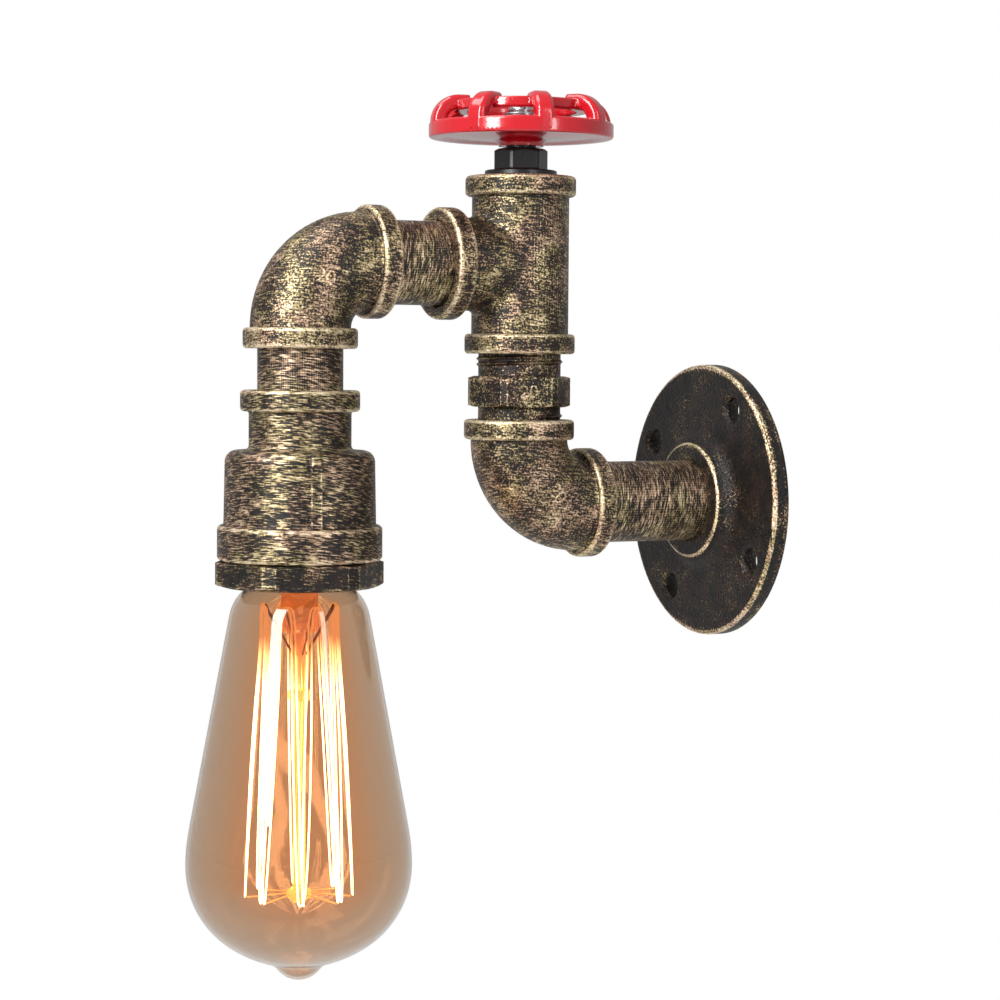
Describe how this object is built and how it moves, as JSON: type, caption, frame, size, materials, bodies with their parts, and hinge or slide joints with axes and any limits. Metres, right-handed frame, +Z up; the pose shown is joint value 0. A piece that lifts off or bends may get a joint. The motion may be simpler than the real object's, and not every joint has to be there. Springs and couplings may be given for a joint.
{
  "type": "industrial pipe wall light",
  "caption": "Wall light made of iron pipe fittings on a round floor flange, with a red handwheel on the riser and a bare teardrop filament bulb hanging from a reducing socket.",
  "frame": {"origin": "centre of the wall flange's back face, on the lower pipe's axis", "axes": "+Z up, -Y out from the wall into the room, +X to the right for someone who faces the wall"},
  "size_m": [0.0906, 0.1864, 0.2785],
  "materials": {
    "antique_bronze_casting": "malleable iron, black with gold bronze rubbed over the high places",
    "antique_bronze_pipe": "steel pipe, black with brushed gold bronze",
    "black_iron": "satin black",
    "red_enamel": "gloss red enamel",
    "plated_steel": "zinc plated",
    "porcelain": "glazed white porcelain",
    "holder_brass": "pressed brass",
    "brown_insulation": "matte insulation",
    "blue_insulation": "matte insulation",
    "amber_glass": "clear amber",
    "cap_brass": "rolled brass",
    "black_glass": "opaque black",
    "solder": "dull solder",
    "clear_glass": "clear",
    "filament_wire": "glowing carbon wire",
    "support_wire": "bright wire"
  },
  "bodies": {
    "fixture": {"wall_flange": "antique_bronze_casting", "lower_nipple": "antique_bronze_pipe", "lower_elbow": "antique_bronze_casting", "hex_nipple": "antique_bronze_casting", "tee": "antique_bronze_casting", "stem_bushing": "black_iron", "branch_nipple": "antique_bronze_pipe", "upper_elbow": "antique_bronze_casting", "drop_nipple": "antique_bronze_pipe", "reducer": "antique_bronze_casting", "retaining_ring": "antique_bronze_casting", "holder_body": "porcelain", "holder_shell": "holder_brass", "centre_contact": "holder_brass", "live_terminal": "holder_brass", "neutral_terminal": "holder_brass", "terminal_screws": "plated_steel", "live_lead": "brown_insulation", "neutral_lead": "blue_insulation"},
    "handwheel": {"handwheel": "red_enamel", "valve_spindle": "plated_steel", "spindle_clip": "plated_steel", "wheel_washer": "plated_steel", "wheel_screw": "plated_steel"},
    "bulb": {"bulb_glass": "amber_glass", "bulb_cap": "cap_brass", "cap_insulator": "black_glass", "cap_contact": "solder", "glass_mount": "clear_glass", "filament": "filament_wire", "upper_supports": "support_wire", "lower_supports": "support_wire", "lead_in_wires": "support_wire"}
  },
  "joints": [
    {"name": "wheel_turn", "type": "hinge", "parent": "fixture", "child": "handwheel", "pos_m": [0, -0.0744, 0.1], "axis": [0, 0, 1], "continuous": true},
    {"name": "bulb_release", "type": "slide", "parent": "fixture", "child": "bulb", "axis": [0, 0, -1], "range_m": [0, 0.06]}
  ]
}
